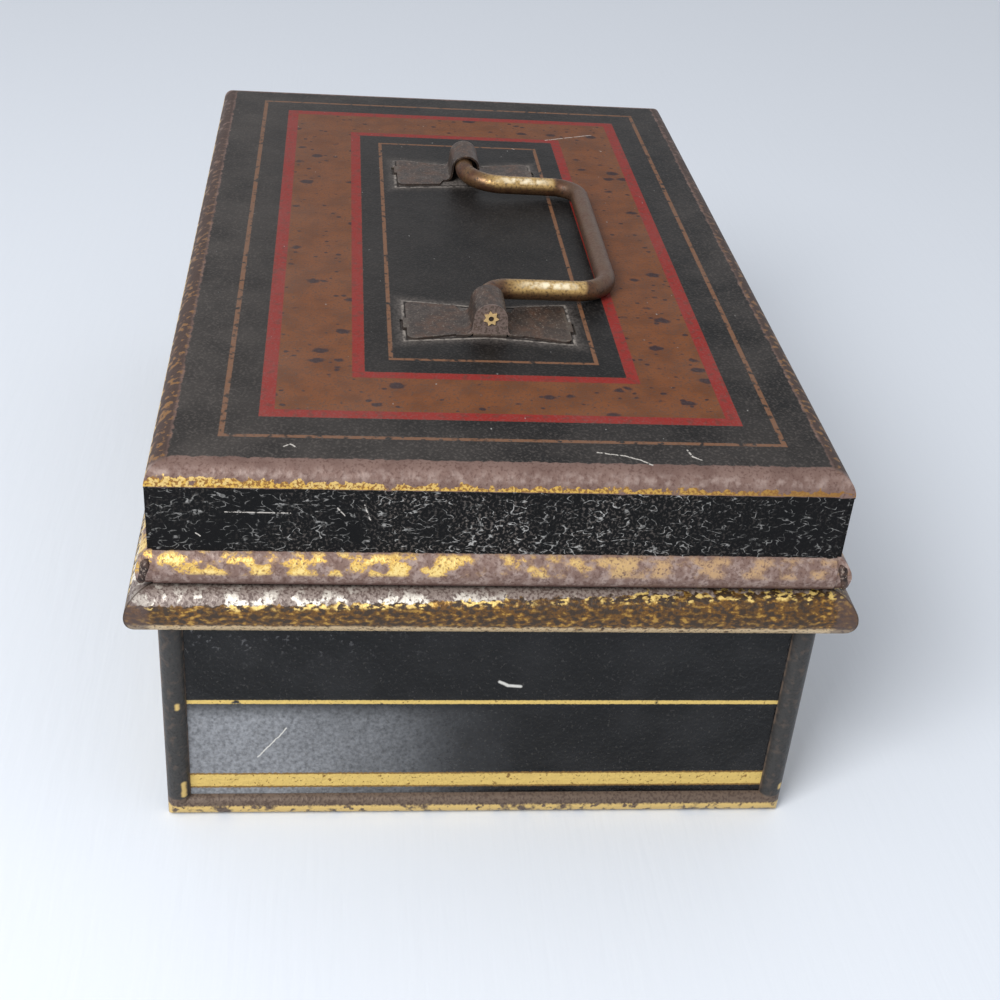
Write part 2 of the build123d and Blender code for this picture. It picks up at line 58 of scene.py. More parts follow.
# A material built up in layers, the way the box was painted and worn.
class Coat:
    def __init__(self, name, base, gloss=0.5):
        self.material = bpy.data.materials.new(name)
        self.material.use_nodes = True
        self.tree = self.material.node_tree
        self.shader = self.tree.nodes["Principled BSDF"]
        self.shader.inputs["Specular IOR Level"].default_value = gloss
        self.colour, self.rough, self.metal = base
        coords = self.add("TexCoord")
        scaled = self.add("VectorMath", operation="SCALE")
        self.feed(scaled.inputs[0], coords.outputs["Object"])
        self.feed(scaled.inputs["Scale"], 1000.0)
        self.place = scaled.outputs[0]
        self.facing = coords.outputs["Normal"]
        self.x, self.y, self.z = self.split(self.place)
        self.wideX = self.calc("ABSOLUTE", self.x)
        self.wideY = self.calc("ABSOLUTE", self.y)
        self.clouds = {}
        self.grain = self.noise(*sharedClouds["grain"])
        self.wear = self.noise(*sharedClouds["wear"])
        self.mottle = self.noise(*sharedClouds["mottle"])
        self.blotches = self.noise(*sharedClouds["blotches"])
        self.drift = self.noise(*sharedClouds["drift"])

    def add(self, kind, **settings):
        made = self.tree.nodes.new("ShaderNode" + kind)
        for key, value in settings.items():
            setattr(made, key, value)
        return made

    def feed(self, socket, value):
        if isinstance(value, bpy.types.NodeSocket):
            self.tree.links.new(value, socket)
        else:
            socket.default_value = value

    def split(self, vector):
        made = self.add("SeparateXYZ")
        self.feed(made.inputs[0], vector)
        return made.outputs

    def calc(self, operation, *values):
        made = self.add("Math", operation=operation)
        for socket, value in zip(made.inputs, values):
            self.feed(socket, value)
        return made.outputs[0]

    def plus(self, first, second):
        return self.calc("ADD", first, second)

    # where all of these masks are, each of them 0 to 1
    def both(self, *masks):
        result = masks[0]
        for mask in masks[1:]:
            result = self.calc("MULTIPLY", result, mask)
        return result

    def either(self, *masks):
        result = masks[0]
        for mask in masks[1:]:
            result = self.calc("MAXIMUM", result, mask)
        return result

    # 0 at low and 1 at high, or the other way round where low is the larger
    def ramp(self, value, low, high):
        made = self.add("MapRange", interpolation_type="SMOOTHSTEP")
        for socket, given in zip(made.inputs, (value, low, high)):
            self.feed(socket, given)
        return made.outputs[0]

    def band(self, value, low, high, soft=0.15):
        rising = self.ramp(value, low - soft, low + soft)
        falling = self.ramp(value, high + soft, high - soft)
        return self.both(rising, falling)

    # clouds about this many millimetres across, centred on 0.5
    def noise(self, size, detail=3.0, seed=0.0, stretch=(1, 1, 1), turn=(0, 0, 0)):
        key = (size, detail, seed, stretch, turn)
        if key not in self.clouds:
            mapping = self.add("Mapping")
            self.feed(mapping.inputs["Vector"], self.place)
            self.feed(mapping.inputs["Scale"], tuple(part / size for part in stretch))
            self.feed(mapping.inputs["Location"], (seed, 1.7 * seed, -seed))
            self.feed(mapping.inputs["Rotation"], turn)
            made = self.add("TexNoise")
            self.feed(made.inputs["Vector"], mapping.outputs[0])
            self.feed(made.inputs["Scale"], 1.0)
            self.feed(made.inputs["Detail"], detail)
            self.clouds[key] = made.outputs[0]
        return self.clouds[key]

    # the thick parts of some clouds, which hide about this share of the surface
    def patches(self, clouds, share, soft=0.06):
        middle = 0.5 + cloudSpread * (0.5 - share)
        return self.ramp(clouds, middle - soft, middle + soft)

    # a value moved up and down by about this much, for ragged edges
    def ragged(self, value, reach, clouds=None):
        clouds = clouds or self.wear
        return self.plus(value, self.calc("MULTIPLY_ADD", clouds, 4 * reach, -2 * reach))

    # blots of uneven size: radius runs from nothing to the given share of a cell
    def blots(self, size, radius, seed=0.0, stretch=(1, 1, 1), edge=0.06):
        mapping = self.add("Mapping")
        self.feed(mapping.inputs["Vector"], self.place)
        self.feed(mapping.inputs["Scale"], tuple(part / size for part in stretch))
        self.feed(mapping.inputs["Location"], (seed, 1.3 * seed, -seed))
        made = self.add("TexVoronoi")
        self.feed(made.inputs["Vector"], mapping.outputs[0])
        self.feed(made.inputs["Scale"], 1.0)
        chance = self.split(made.outputs["Color"])[0]
        distance = self.ragged(made.outputs["Distance"], 0.08)
        reach = self.calc("MULTIPLY", chance, radius)
        return self.ramp(distance, self.plus(reach, edge), self.plus(reach, -edge))

    # thin curved lines, where clouds pass through their middle value
    def hairs(self, size, width, seed=0.0, stretch=(1, 1, 1), turn=(0, 0, 0)):
        clouds = self.noise(size, 1.0, seed, stretch, turn)
        level = self.calc("ABSOLUTE", self.plus(clouds, -0.5))
        return self.ramp(level, width / size, 0.3 * width / size)

    # how far outside a rectangle on the lid's top a point is; the taper widens it in X towards its ends
    def frameDistance(self, halfX, halfY, middleX=0.0, middleY=0.0, taper=0.0):
        offX = self.calc("ABSOLUTE", self.plus(self.x, -middleX))
        offY = self.calc("ABSOLUTE", self.plus(self.y, -middleY))
        overX = self.plus(offX, self.calc("MULTIPLY_ADD", offY, -taper, -halfX))
        return self.calc("MAXIMUM", overX, self.plus(offY, -halfY))

    # scratches along runs of points, given in two of the axes
    def marks(self, axes, runs, width):
        flat = self.add("CombineXYZ")
        self.feed(flat.inputs[0], self.ragged(axes[0], 0.25))
        self.feed(flat.inputs[1], axes[1])
        strokes = []
        for run in runs:
            for start, end in zip(run, run[1:]):
                strokes.append(self.stroke(flat.outputs[0], Vector((*start, 0)), Vector((*end, 0)), width))
        return self.either(*strokes)

    def stroke(self, point, start, end, width):
        along = end - start
        fromStart = self.add("VectorMath", operation="SUBTRACT")
        self.feed(fromStart.inputs[0], point)
        self.feed(fromStart.inputs[1], start)
        dot = self.add("VectorMath", operation="DOT_PRODUCT")
        self.feed(dot.inputs[0], fromStart.outputs[0])
        self.feed(dot.inputs[1], along / along.length_squared)
        share = self.add("Clamp")
        self.feed(share.inputs[0], dot.outputs["Value"])
        nearest = self.add("VectorMath", operation="SCALE")
        self.feed(nearest.inputs[0], along)
        self.feed(nearest.inputs["Scale"], share.outputs[0])
        gap = self.add("VectorMath", operation="DISTANCE")
        self.feed(gap.inputs[0], fromStart.outputs[0])
        self.feed(gap.inputs[1], nearest.outputs[0])
        return self.ramp(gap.outputs["Value"], 0.8 * width, 0.2 * width)

    # 1 on faces that look towards this middle, such as the inside of a wall
    def inward(self, middle):
        away = self.add("VectorMath", operation="SUBTRACT")
        self.feed(away.inputs[0], self.place)
        self.feed(away.inputs[1], middle)
        dot = self.add("VectorMath", operation="DOT_PRODUCT")
        self.feed(dot.inputs[0], away.outputs[0])
        self.feed(dot.inputs[1], self.facing)
        return self.calc("LESS_THAN", dot.outputs["Value"], 0.0)

    def blend(self, share, under, over):
        kind = "RGBA" if isinstance(over, tuple) else "FLOAT"
        made = self.add("Mix", data_type=kind)
        first, second, result = (6, 7, 2) if kind == "RGBA" else (2, 3, 0)
        self.feed(made.inputs[0], share)
        self.feed(made.inputs[first], under)
        self.feed(made.inputs[second], over)
        return made.outputs[result]

    # lay a finish over this share of what is there
    def cover(self, share, layer):
        colour, rough, metal = layer
        self.colour = self.blend(share, self.colour, colour)
        if rough is not None:
            self.rough = self.blend(share, self.rough, rough)
        if metal is not None:
            self.metal = self.blend(share, self.metal, metal)

    # the finished material, with a relief this many millimetres deep
    def relief(self, height, depth):
        self.feed(self.shader.inputs["Base Color"], self.colour)
        self.feed(self.shader.inputs["Roughness"], self.rough)
        self.feed(self.shader.inputs["Metallic"], self.metal)
        bump = self.add("Bump")
        self.feed(bump.inputs["Height"], height)
        self.feed(bump.inputs["Distance"], depth / 1000)
        self.feed(self.shader.inputs["Normal"], bump.outputs[0])
        return self.material


def dress(material, *nodes):
    for name in nodes:
        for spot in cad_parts[name].material_slots:
            spot.material = material


# Bare tinplate inside, tarnished in clouds and spots.
tinLooks = {
    "clean": finish(150, 148, 140, 0.38, 0.85),
    "tarnish": finish(116, 100, 78, 0.5, 0.7),
    "rust": finish(92, 62, 42, 0.75, 0.2),
    "tarnished": 0.5,               # share of the tin
    "spotted": 0.12,
}


def coverTin(coat, inside):
    look = tinLooks
    coat.cover(inside, look["clean"])
    coat.cover(coat.both(inside, coat.patches(coat.drift, look["tarnished"], 0.16), 0.75), look["tarnish"])
    coat.cover(coat.both(inside, coat.patches(coat.wear, look["spotted"], 0.03)), look["rust"])


# Keepers: dark pressed steel, rusting, with dust along their edges.
keeperLooks = {
    "nearMiddle": (63.0, 0.8),      # middle of the near keeper's wings
    "farMiddle": (-56.5, 1.4),
    "waist": 9.3,                   # half the wings' breadth at the hood
    "halfSpan": 24.0,
    "taper": 0.13,                  # the wings widen by this much for each millimetre outwards
    "plateTop": 117.7,
    "nearFace": 72.9,               # the hoods' outer faces, out from the middle of the lid
    "farFace": 64.5,
    "relief": 0.12,
    "plate": finish(68, 56, 49, 0.42, 0.3),
    "rust": finish(80, 56, 42, 0.55, 0.15),
    "dark": finish(46, 38, 34, 0.5),
    "side": finish(46, 38, 34, 0.6, 0.2),
    "pale": finish(150, 140, 126, 0.6),
    "worn": finish(150, 140, 126, 0.5),
    "face": finish(120, 104, 97, 0.5, 0.2),
}


# how far outside a keeper's plate a point on the lid is
def plateDistance(coat, middle):
    look = keeperLooks
    return coat.frameDistance(look["waist"], look["halfSpan"], *middle, look["taper"])


def keeperMaterial(name, middle, outward, face):
    look = keeperLooks
    top = look["plateTop"]
    coat = Coat(name, look["plate"])
    coat.cover(coat.both(coat.patches(coat.noise(9.0), 0.5, 0.12), 0.8), look["rust"])
    coat.cover(coat.both(coat.patches(coat.wear, 0.5, 0.12), 0.7), look["dark"])
    coat.cover(coat.both(coat.ramp(coat.grain, 0.56, 0.7), 0.4), look["pale"])
    # plates worn a little pale just inside their edge, partly as a painted highlight, with their sides
    # darkened as painted shade
    rubbedAndLit = coat.ramp(coat.wear, 0.36, 0.62)
    worn = coat.both(coat.ramp(plateDistance(coat, middle), -1.4, -0.2), rubbedAndLit, 0.18)
    coat.cover(coat.both(worn, coat.ramp(coat.z, top + 0.9, top + 0.3)), look["worn"])
    # painted shade on the plates' sides
    coat.cover(coat.both(coat.ramp(coat.z, top - 0.02, top - 0.1), 0.8), look["side"])
    # the hood's outer face, above the plate
    outX = coat.calc("MULTIPLY", coat.x, outward)
    onFace = coat.both(coat.ramp(outX, face - 0.5, face - 0.2), coat.ramp(coat.z, top + 0.2, top + 0.5))
    coat.cover(coat.both(onFace, coat.ramp(coat.grain, 0.66, 0.46)), look["face"])
    return coat.relief(coat.plus(coat.grain, coat.wear), look["relief"])


nearKeeper = keeperMaterial("near_keeper_steel", keeperLooks["nearMiddle"], 1.0, keeperLooks["nearFace"])
farKeeper = keeperMaterial("far_keeper_steel", keeperLooks["farMiddle"], -1.0, keeperLooks["farFace"])
dress(nearKeeper, "handle_keeper_near")
dress(farKeeper, "handle_keeper_far")
print("keepers coloured")


# Lid: painted frames on top, a bronzed shoulder, a scratched black skirt and a gilt swelled band.
lidLooks = {
    "half": (148.0, 90.0),          # half the lid's length and width
    "top": 116.5,                   # its flat top lies above this height
    "shoulderHighlight": (113.6, 115.8),  # heights between which the shoulder's curve gets a painted highlight
    "shoulderFoot": 111.5,
    "bandTop": 92.5,
    "bandFoot": 83.0,
    "flakesFoot": 87.6,             # the band's gold has worn off below this height
    "fieldEnd": -5.6,               # the black field ends here, in from the lid's edge
    "frameShift": 1.0,              # the painted frames sit this far towards the hinges
    "pinstripe": (132.4, 73.9, 1.4),    # half length, half width and breadth of each painted line
    "redFrame": (121.8, 64.2, 3.9),
    "centreFrame": (95.8, 36.6, 3.4),
    "innerStripe": (88.4, 29.8, 1.2),
    "film": (0.06, 0.1, 0.12),      # share of dust: everywhere, more to the rim, more to the lock side
    "dustGrains": (0.12, 0.16),     # share of its grains: everywhere, and more to the rim
    "keeperDust": (8.0, -2.0),      # dust thickens between these, in towards a keeper's plate
    "topScratchWidth": 0.45,
    "skirtScratchWidth": 0.28,
    "hollow": (0, 0, 60),           # middle of the space inside
    "relief": 0.12,
    "black": finish(18, 17, 17, 0.44, 0.0),
    "gloss": 0.12,
    "panel": finish(114, 66, 34, 0.5, 0.1),
    "panelDark": finish(86, 50, 28),
    "speck": finish(52, 36, 38, 0.6, 0.0),
    "red": finish(130, 32, 26, 0.5, 0.0),
    "redWorn": finish(106, 42, 34),
    "stripe": finish(116, 80, 56, 0.5, 0.1),
    "dust": finish(112, 105, 100, 0.7),
    "dustThick": finish(112, 105, 100, 0.8),
    "crust": finish(150, 142, 134, 0.8),
    "gap": finish(20, 17, 16, 0.8),
    "hair": finish(166, 165, 162, 0.7),
    "scratch": finish(200, 194, 186, 0.6),
    "brown": finish(120, 98, 90, 0.45, 0.15),
    "brownDark": finish(88, 66, 60, 0.55, 0.1),
    "brownGrain": finish(88, 66, 60, 0.55),
    "brownPale": finish(164, 146, 138, 0.4),
    "brownSide": finish(62, 50, 45, 0.55, 0.1),
    "goldSide": finish(138, 100, 56, 0.45, 0.35),
    "skirt": finish(9, 9, 10, 0.4, 0.0),
    "goldDull": finish(138, 100, 56, 0.42, 0.35),
    "goldLine": finish(210, 170, 86, 0.36, 0.45),
    "goldLinePale": finish(214, 184, 118),
    "band": finish(120, 98, 90, 0.42, 0.15),
    "bandStain": finish(176, 144, 108, 0.42, 0.2),
    "bandGold": finish(210, 170, 86, 0.34, 0.35),
    "bandGoldPale": finish(232, 206, 136),
    "bandShade": finish(88, 66, 60, 0.6, 0.0),
    "bandUnderShade": finish(30, 22, 20, 0.8, 0.0),
    "topScratches": [
        [(-98.8, 35.8), (-104.1, 48.2), (-106.9, 54.9)],
        [(-89.6, 55.6), (-88.8, 56.4)],
        [(-87.9, 22.0), (-87.3, 22.6)],
        [(137.0, 23.6), (138.5, 30.5), (140.3, 34.1), (142.7, 37.0)],
        [(134.9, 47.5), (138.4, 48.3), (139.8, 50.4)],
        [(136.7, -56.2), (135.6, -54.7), (137.0, -53.2)],
    ],
    "skirtScratches": [
        [(-70.4, 104.4), (-54.3, 104.3)],
        [(-42.5, 106.0), (-40.7, 103.7)],
        [(-35.8, 107.0), (-34.4, 102.6)],
        [(-77.9, 98.0), (-76.7, 97.1)],
    ],
}


def paintFrames(coat, look):
    def rectangle(name):
        halfX, halfY, breadth = look[name]
        distance = coat.frameDistance(halfX, halfY, 0.0, look["frameShift"])
        return coat.ragged(distance, 0.08, coat.grain), breadth

    redEdge, redBreadth = rectangle("redFrame")
    centreEdge, centreBreadth = rectangle("centreFrame")
    pinEdge, pinBreadth = rectangle("pinstripe")
    innerEdge, innerBreadth = rectangle("innerStripe")
    # brown panel between two red lines
    inPanel = coat.both(coat.ramp(redEdge, 0.1, -0.1), coat.ramp(centreEdge, -0.1, 0.1))
    coat.cover(inPanel, look["panel"])
    coat.cover(coat.both(inPanel, coat.patches(coat.blotches, 0.4, 0.16), 0.6), look["panelDark"])
    coat.cover(coat.both(inPanel, coat.ramp(coat.grain, 0.5, 0.7)), look["panelDark"])
    specks = coat.either(coat.blots(6.5, 0.27, 2, (1.0, 0.7, 1)), coat.blots(3.4, 0.22, 6, (1.0, 0.8, 1)))
    coat.cover(coat.both(inPanel, specks), look["speck"])
    redLines = coat.either(coat.band(redEdge, -redBreadth, 0), coat.band(centreEdge, 0, centreBreadth))
    coat.cover(redLines, look["red"])
    coat.cover(coat.both(redLines, coat.ramp(coat.wear, 0.5, 0.7)), look["redWorn"])
    # fine lines in the black, rubbed away in places
    lines = coat.either(coat.band(pinEdge, -pinBreadth, 0), coat.band(innerEdge, -innerBreadth, 0))
    coat.cover(coat.both(lines, coat.ramp(coat.wear, 0.68, 0.52)), look["stripe"])


# A film of dust in clouds and grains, thicker towards the lid's edges and the lock side.
def dustTop(coat, look):
    rimward = coat.ramp(coat.frameDistance(*look["half"]), -45, -5)
    lockward = coat.ramp(coat.y, 10, -80)
    evenFilm, rimFilm, lockFilm = look["film"]
    film = coat.both(coat.plus(evenFilm, coat.both(rimward, rimFilm)), coat.ramp(coat.drift, 0.3, 0.7))
    coat.cover(coat.plus(film, coat.both(lockward, lockFilm)), look["dust"])
    evenGrains, rimGrains = look["dustGrains"]
    amount = coat.plus(evenGrains, coat.both(rimward, rimGrains))
    coat.cover(coat.both(coat.ramp(coat.grain, 0.48, 0.7), amount), look["dust"])
    flecks = coat.both(coat.blots(3.0, 0.1, 15, (0.5, 1, 1), 0.03), coat.ramp(coat.wear, 0.48, 0.56))
    coat.cover(coat.both(flecks, 0.7), look["hair"])
    for keeper in ("nearMiddle", "farMiddle"):
        distance = plateDistance(coat, keeperLooks[keeper])
        around = coat.ramp(coat.ragged(distance, 1.2, coat.mottle), *look["keeperDust"])
        speckled = coat.plus(0.3, coat.both(coat.ramp(coat.grain, 0.3, 0.6), 0.6))
        coat.cover(coat.both(around, around, speckled), look["dustThick"])
        # dust packed along the plate's edge, past a thin dark line of painted shadow
        packed = coat.band(coat.ragged(distance, 0.35), 0.4, 1.2, 0.3)
        coat.cover(coat.both(packed, coat.ramp(coat.wear, 0.36, 0.6), 0.85), look["crust"])
        # painted shadow: a thin dark line round the plate's edge
        coat.cover(coat.both(coat.band(distance, -0.5, 0.36), 0.75), look["gap"])


def paintShoulder(coat, look):
    halfX, halfY = look["half"]
    top = look["top"]
    fieldEnd = look["fieldEnd"]
    edge = coat.ragged(coat.frameDistance(halfX, halfY), 0.6)
    past = coat.ramp(edge, fieldEnd - 0.3, fieldEnd + 0.3)
    shoulder = coat.either(past, coat.ramp(coat.z, top + 0.1, top - 0.2))
    coat.cover(shoulder, look["brown"])
    coat.cover(coat.both(shoulder, coat.patches(coat.blotches, 0.35, 0.16), 0.5), look["brownDark"])
    coat.cover(coat.both(shoulder, coat.ramp(coat.grain, 0.5, 0.66), 0.7), look["brownGrain"])
    # painted highlight on the shoulder's curve, broken up by wear clouds
    rubbedAndLit = coat.both(coat.band(coat.z, *look["shoulderHighlight"], 1.0), coat.ramp(coat.wear, 0.4, 0.7), 0.6)
    coat.cover(rubbedAndLit, look["brownPale"])
    # long sides: handled dark, with dull gold showing towards the near end
    onLongSide = coat.both(coat.ramp(coat.wideY, halfY - 6.0, halfY - 4.6),
                           coat.ramp(coat.wideX, halfX - 3.0, halfX - 6.0))
    coat.cover(coat.both(onLongSide, coat.ramp(coat.wear, 0.74, 0.5), 0.86), look["brownSide"])
    gilt = coat.both(onLongSide, coat.ramp(coat.x, -140, 110), coat.ramp(coat.wear, 0.54, 0.62), 0.8)
    coat.cover(gilt, look["goldSide"])


# Skirt: black below the shoulder, combed with fine scratches.
def paintSkirt(coat, look):
    foot = look["shoulderFoot"]
    low = coat.ragged(foot, 0.25, coat.mottle)
    skirt = coat.ramp(coat.z, low, coat.plus(low, -0.25))
    coat.cover(skirt, look["skirt"])
    middle = coat.ramp(coat.calc("ABSOLUTE", coat.plus(coat.y, 5.0)), 90, 20)
    amount = coat.both(coat.patches(coat.drift, 0.6, 0.14), coat.plus(0.28, coat.both(middle, 0.9)))
    dust = coat.both(skirt, coat.ramp(coat.grain, 0.5, 0.68), amount)
    coat.cover(coat.both(dust, 0.5), look["dust"])
    fine = coat.either(coat.hairs(2.6, 0.05, 43, (1, 0.6, 1)),
                       coat.hairs(4.2, 0.06, 47, (1, 0.5, 1.2), (0.5, 0, 0)))
    combed = coat.both(skirt, fine, coat.ramp(coat.wear, 0.44, 0.62), coat.ramp(coat.grain, 0.34, 0.54))
    coat.cover(coat.both(combed, coat.plus(0.4, coat.both(amount, 0.55))), look["hair"])
    # gold line left at the foot of the shoulder, in high flakes at the lock side
    lift = coat.ramp(coat.y, -20, -80)
    flakeTop = coat.ragged(coat.plus(foot + 1.5, lift), 1.1)
    line = coat.both(coat.ramp(coat.z, foot - 0.1, foot + 0.15),
                     coat.ramp(coat.z, flakeTop, coat.plus(flakeTop, -0.3)))
    kept = coat.both(line, coat.ramp(coat.mottle, 0.34, 0.4))
    coat.cover(kept, look["goldDull"])
    clean = coat.both(kept, coat.ramp(coat.grain, 0.42, 0.56), coat.ramp(coat.y, 100, 0))
    coat.cover(clean, look["goldLine"])
    bright = coat.both(kept, coat.ramp(coat.wear, 0.46, 0.54), coat.ramp(coat.grain, 0.42, 0.54))
    coat.cover(coat.both(bright, coat.ramp(coat.y, 20, -60)), look["goldLinePale"])


def paintBand(coat, look):
    top = look["bandTop"]
    foot = look["bandFoot"]
    height = coat.ragged(coat.z, 0.25)
    band = coat.ramp(height, top + 0.2, top)
    coat.cover(band, look["band"])
    coat.cover(coat.both(band, coat.ramp(coat.wear, 0.4, 0.68), 0.7), look["brownPale"])
    coat.cover(coat.both(band, coat.ramp(coat.grain, 0.5, 0.64), 0.6), look["brownGrain"])
    # flakes of gold left on the upper half: crisp at the lock side, thin and dull towards the hinges
    flakes = coat.ragged(coat.noise(4.0, 5.0, 65.0, (1, 0.7, 1)), 0.07, coat.grain)
    upper = coat.band(height, look["flakesFoot"], top - 0.3, 0.7)
    level = coat.plus(0.49, coat.both(coat.ramp(coat.y, -70, 60), 0.03))
    stain = coat.both(upper, coat.ramp(flakes, coat.plus(level, -0.08), coat.plus(level, 0.06)))
    coat.cover(coat.both(stain, coat.ramp(coat.grain, 0.72, 0.42)), look["bandStain"])
    crisp = coat.ramp(coat.y, 50, -30)
    kept = coat.both(upper, coat.ramp(flakes, level, coat.plus(level, 0.03)), crisp)
    coat.cover(coat.both(kept, coat.ramp(coat.grain, 0.78, 0.5)), look["bandGold"])
    thick = coat.both(kept, coat.ramp(flakes, coat.plus(level, 0.03), coat.plus(level, 0.08)))
    coat.cover(coat.both(thick, coat.ramp(coat.grain, 0.66, 0.42)), look["bandGoldPale"])
    # painted shade: the band's lower part is darkened as it turns in and down, darkest at its foot
    coat.cover(coat.ramp(height, foot + 2.2, foot + 1.0), look["bandShade"])
    coat.cover(coat.ramp(height, foot + 0.1, foot - 0.3), look["bandUnderShade"])


def lidMaterial():
    look = lidLooks
    coat = Coat("lid_japan", look["black"], look["gloss"])
    paintFrames(coat, look)
    dustTop(coat, look)
    paintShoulder(coat, look)
    paintSkirt(coat, look)
    paintBand(coat, look)
    # scratches that were placed one by one, on the top and on the skirt's near face
    nearFace = look["half"][0] - 0.6
    onTop = coat.ramp(coat.z, look["top"], look["top"] + 0.3)
    onNearEnd = coat.ramp(coat.x, nearFace, nearFace + 0.4)
    topMarks = coat.marks((coat.x, coat.y), look["topScratches"], look["topScratchWidth"])
    skirtMarks = coat.marks((coat.y, coat.z), look["skirtScratches"], look["skirtScratchWidth"])
    scratches = coat.either(coat.both(onTop, topMarks), coat.both(onNearEnd, skirtMarks))
    broken = coat.ramp(coat.grain, 0.36, 0.5)
    coat.cover(coat.both(scratches, broken, 0.85), look["scratch"])
    coverTin(coat, coat.inward(look["hollow"]))
    return coat.relief(coat.plus(coat.grain, coat.both(coat.blotches, 2.0)), look["relief"])


dress(lidMaterial(), "lid_shell")
print("lid painted")


# Where the swelled band ends at the near corners, its tin is crumpled into a small ear.
earLooks = {
    "size": (2.2, 2.0, 5.2),
    "place": (149.1, 91.0, 87.2),   # at the hinge side, and the same on the lock side
    "lean": 0.3,                    # in radians
    "cuts": 4,
    "crumple": 0.9,
    "relief": 0.1,
    "brown": finish(78, 60, 52, 0.5, 0.15),
    "gloss": 0.3,
    "dark": finish(42, 32, 29, 0.6),
    "pale": finish(150, 134, 122),
}


def earMaterial():
    look = earLooks
    coat = Coat("ear_japan", look["brown"], look["gloss"])
    coat.cover(coat.patches(coat.wear, 0.4, 0.1), look["dark"])
    coat.cover(coat.both(coat.ramp(coat.grain, 0.56, 0.66), 0.7), look["pale"])
    return coat.relief(coat.grain, look["relief"])


def crumpledEar(name, side, material):
    look = earLooks
    placeX, placeY, placeZ = (part / 1000 for part in look["place"])
    bpy.ops.mesh.primitive_cube_add(size=1, location=(placeX, side * placeY, placeZ))
    ear = bpy.context.object
    ear.name = name
    ear.scale = tuple(part / 1000 for part in look["size"])
    ear.rotation_euler = (side * look["lean"], 0, side * look["lean"])
    bpy.ops.object.mode_set(mode="EDIT")
    bpy.ops.mesh.select_all(action="SELECT")
    bpy.ops.mesh.subdivide(number_cuts=look["cuts"], smoothness=0.8, fractal=look["crumple"], seed=4 + side)
    bpy.ops.mesh.normals_make_consistent(inside=False)
    bpy.ops.object.mode_set(mode="OBJECT")
    bpy.ops.object.shade_smooth()
    bpy.ops.object.transform_apply(location=True, rotation=True, scale=True)
    ear.data.materials.append(material)
    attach(ear, "lid")


earJapan = earMaterial()
crumpledEar("lid_ear_lock_side", -1, earJapan)
crumpledEar("lid_ear_hinge_side", 1, earJapan)
print("corner ears made")


# Body: black walls and end panels with gold lines, and rolled frames round the ends.
bodyLooks = {
    "panelBlack": finish(11, 11, 12, 0.26, 0.0),
    "panelGloss": 0.24,
    "wrapBlack": finish(11, 11, 12, 0.3, 0.0),
    "wrapGloss": 0.28,
    "sheen": finish(24, 24, 25),
    "dust": finish(110, 108, 104, 0.6),
    "line": (39.6, 40.9),           # heights of the thin gold line and the broad stripe
    "stripe": (9.4, 13.7),
    "gold": finish(212, 182, 106, 0.38, 0.3),
    "goldEdge": finish(128, 98, 50, 0.5, 0.2),
    "goldGrain": finish(128, 98, 50),
    "reflectionAcross": (14.0, -72.0),   # the painted reflection grows between these, in Y and in height
    "reflectionHeight": (42.0, 33.0),
    "reflectionGrey": finish(148, 150, 154, 0.42),
    "glintAcross": (10.0, -80.0),
    "glintHeight": (50.0, 68.0),
    "glint": finish(120, 120, 122, 0.4),
    "scratch": finish(196, 194, 188, 0.6),
    "panelScratches": [[(-63.5, 20.3), (-55.5, 30.9)]],
    "panelBlots": [[(2.7, 47.5), (5.0, 46.2), (8.5, 45.9)]],
    "scratchWidth": 0.35,
    "blotWidth": 0.9,
    "hollow": (0, 0, 45),           # middle of the space inside
    "panelRelief": 0.34,
    "wrapRelief": 0.12,
    "frameStart": 144.4,            # the rolled frames lie past this, out from the middle
    "frameSide": 88.3,
    "frameBottom": 7.0,
    "frameGilt": (0.3, 4.0),
    "rim": finish(56, 55, 54, 0.42, 0.2),
    "rimBrown": finish(104, 88, 76, 0.55, 0.15),
    "rimDark": finish(34, 32, 31, 0.5),
    "rimEdge": finish(104, 88, 76, 0.55),
    "rimBottom": finish(104, 88, 76),
    "rimRust": finish(62, 48, 42, 0.6),
    "rimGold": finish(208, 178, 112, 0.4, 0.3),
    "rimDots": [[(-84.8, 40.0), (-84.8, 41.0)], [(-84.1, 8.0), (-84.1, 12.4)], [(87.9, 9.5), (87.9, 10.5)]],
    "dotWidth": 1.3,
}


def coverBlack(coat, look):
    coat.cover(coat.patches(coat.drift, 0.4, 0.14), look["sheen"])
    coat.cover(coat.both(coat.ramp(coat.grain, 0.6, 0.72), 0.14), look["dust"])


def coverStripes(coat, look):
    low, high = look["stripe"]
    height = coat.ragged(coat.z, 0.2, coat.grain)
    coat.cover(coat.band(height, low - 0.6, high + 0.6, 0.2), look["goldEdge"])
    broad = coat.both(coat.band(height, low, high, 0.2), coat.ramp(coat.wear, 0.3, 0.38))
    thinHeight = coat.ragged(coat.z, 0.1, coat.grain)
    thin = coat.both(coat.band(thinHeight, *look["line"]), coat.ramp(coat.mottle, 0.28, 0.36))
    lines = coat.either(broad, thin)
    coat.cover(lines, look["gold"])
    coat.cover(coat.both(lines, coat.ramp(coat.grain, 0.6, 0.72)), look["goldGrain"])


